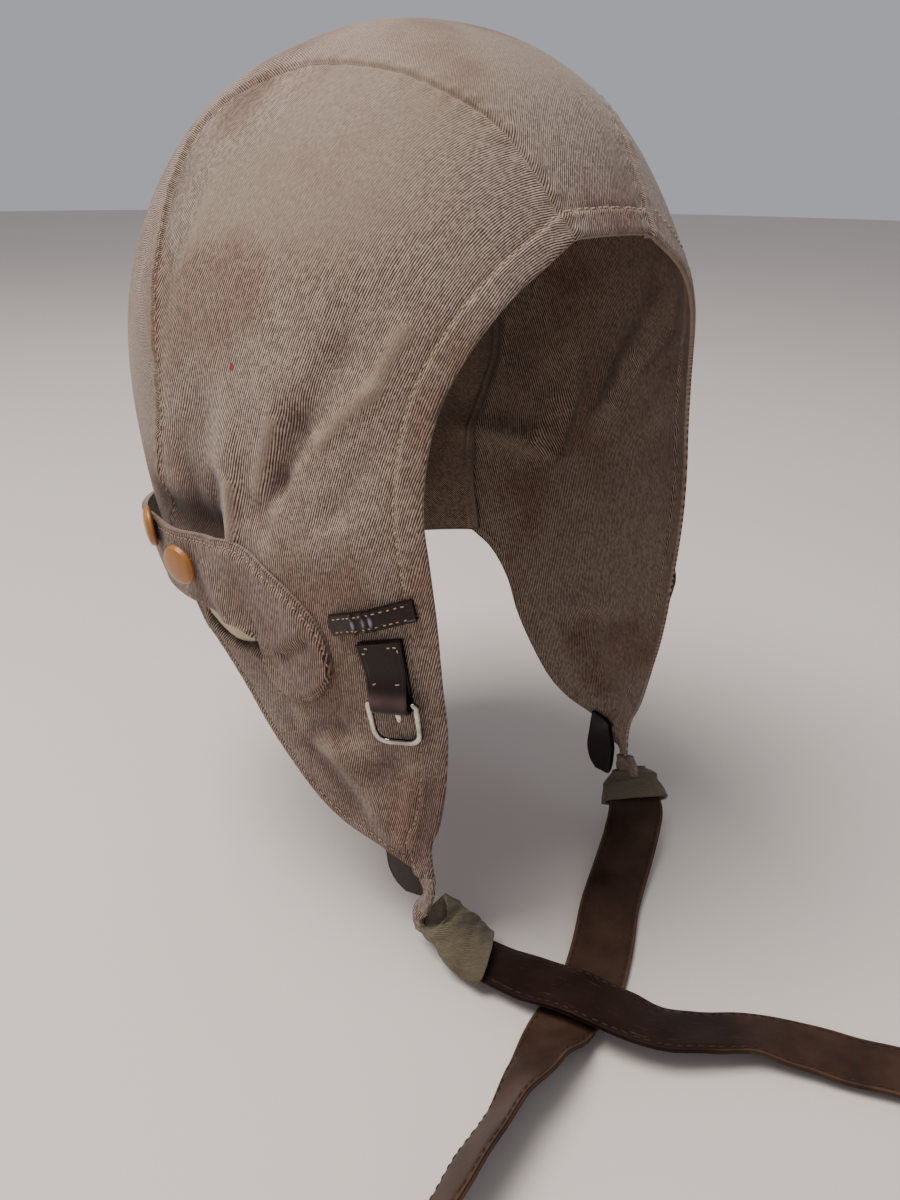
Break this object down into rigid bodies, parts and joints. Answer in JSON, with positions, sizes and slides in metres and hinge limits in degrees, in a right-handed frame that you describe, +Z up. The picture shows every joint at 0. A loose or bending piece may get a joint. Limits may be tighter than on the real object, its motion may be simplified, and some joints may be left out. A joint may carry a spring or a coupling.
{
  "type": "flying cap",
  "caption": "Close-fitting twill flying cap with ear flaps, studded nape band, buckle tabs and leather chin straps, in the form it has on a head",
  "frame": {"origin": "inner top of the crown, where the cap rests on the head", "axes": "+Z up, the wearer faces -Y, the wearer's right side is -X"},
  "size_m": [0.2018, 0.2995, 0.266],
  "materials": {
    "twill": "worn diagonal twill, khaki tan",
    "chamois": "napped cream chamois",
    "dark_leather": "glossy dark brown, creased",
    "strap_leather": "worn dark brown, scuffed",
    "nickel": "bright nickelled wire",
    "enamel": "mustard brown enamelled cap"
  },
  "bodies": {
    "root": {"centre_panel": "twill", "side_panel_right": "twill", "side_panel_left": "twill", "ear_pocket_right": "twill", "ear_pocket_left": "twill", "pocket_lining_right": "chamois", "pocket_lining_left": "chamois", "stud_cap_right_1": "enamel", "stud_cap_right_2": "enamel", "keeper_strip_right": "dark_leather", "buckle_tab_right": "dark_leather", "buckle_frame_right": "nickel", "buckle_prong_right": "nickel", "strap_tip_right": "dark_leather", "strap_sleeve_right": "twill", "chin_strap_right": "strap_leather", "stud_cap_left_1": "enamel", "stud_cap_left_2": "enamel", "keeper_strip_left": "dark_leather", "buckle_tab_left": "dark_leather", "buckle_frame_left": "nickel", "buckle_prong_left": "nickel", "strap_tip_left": "dark_leather", "strap_sleeve_left": "twill", "chin_strap_left": "strap_leather"}
  },
  "joints": []
}
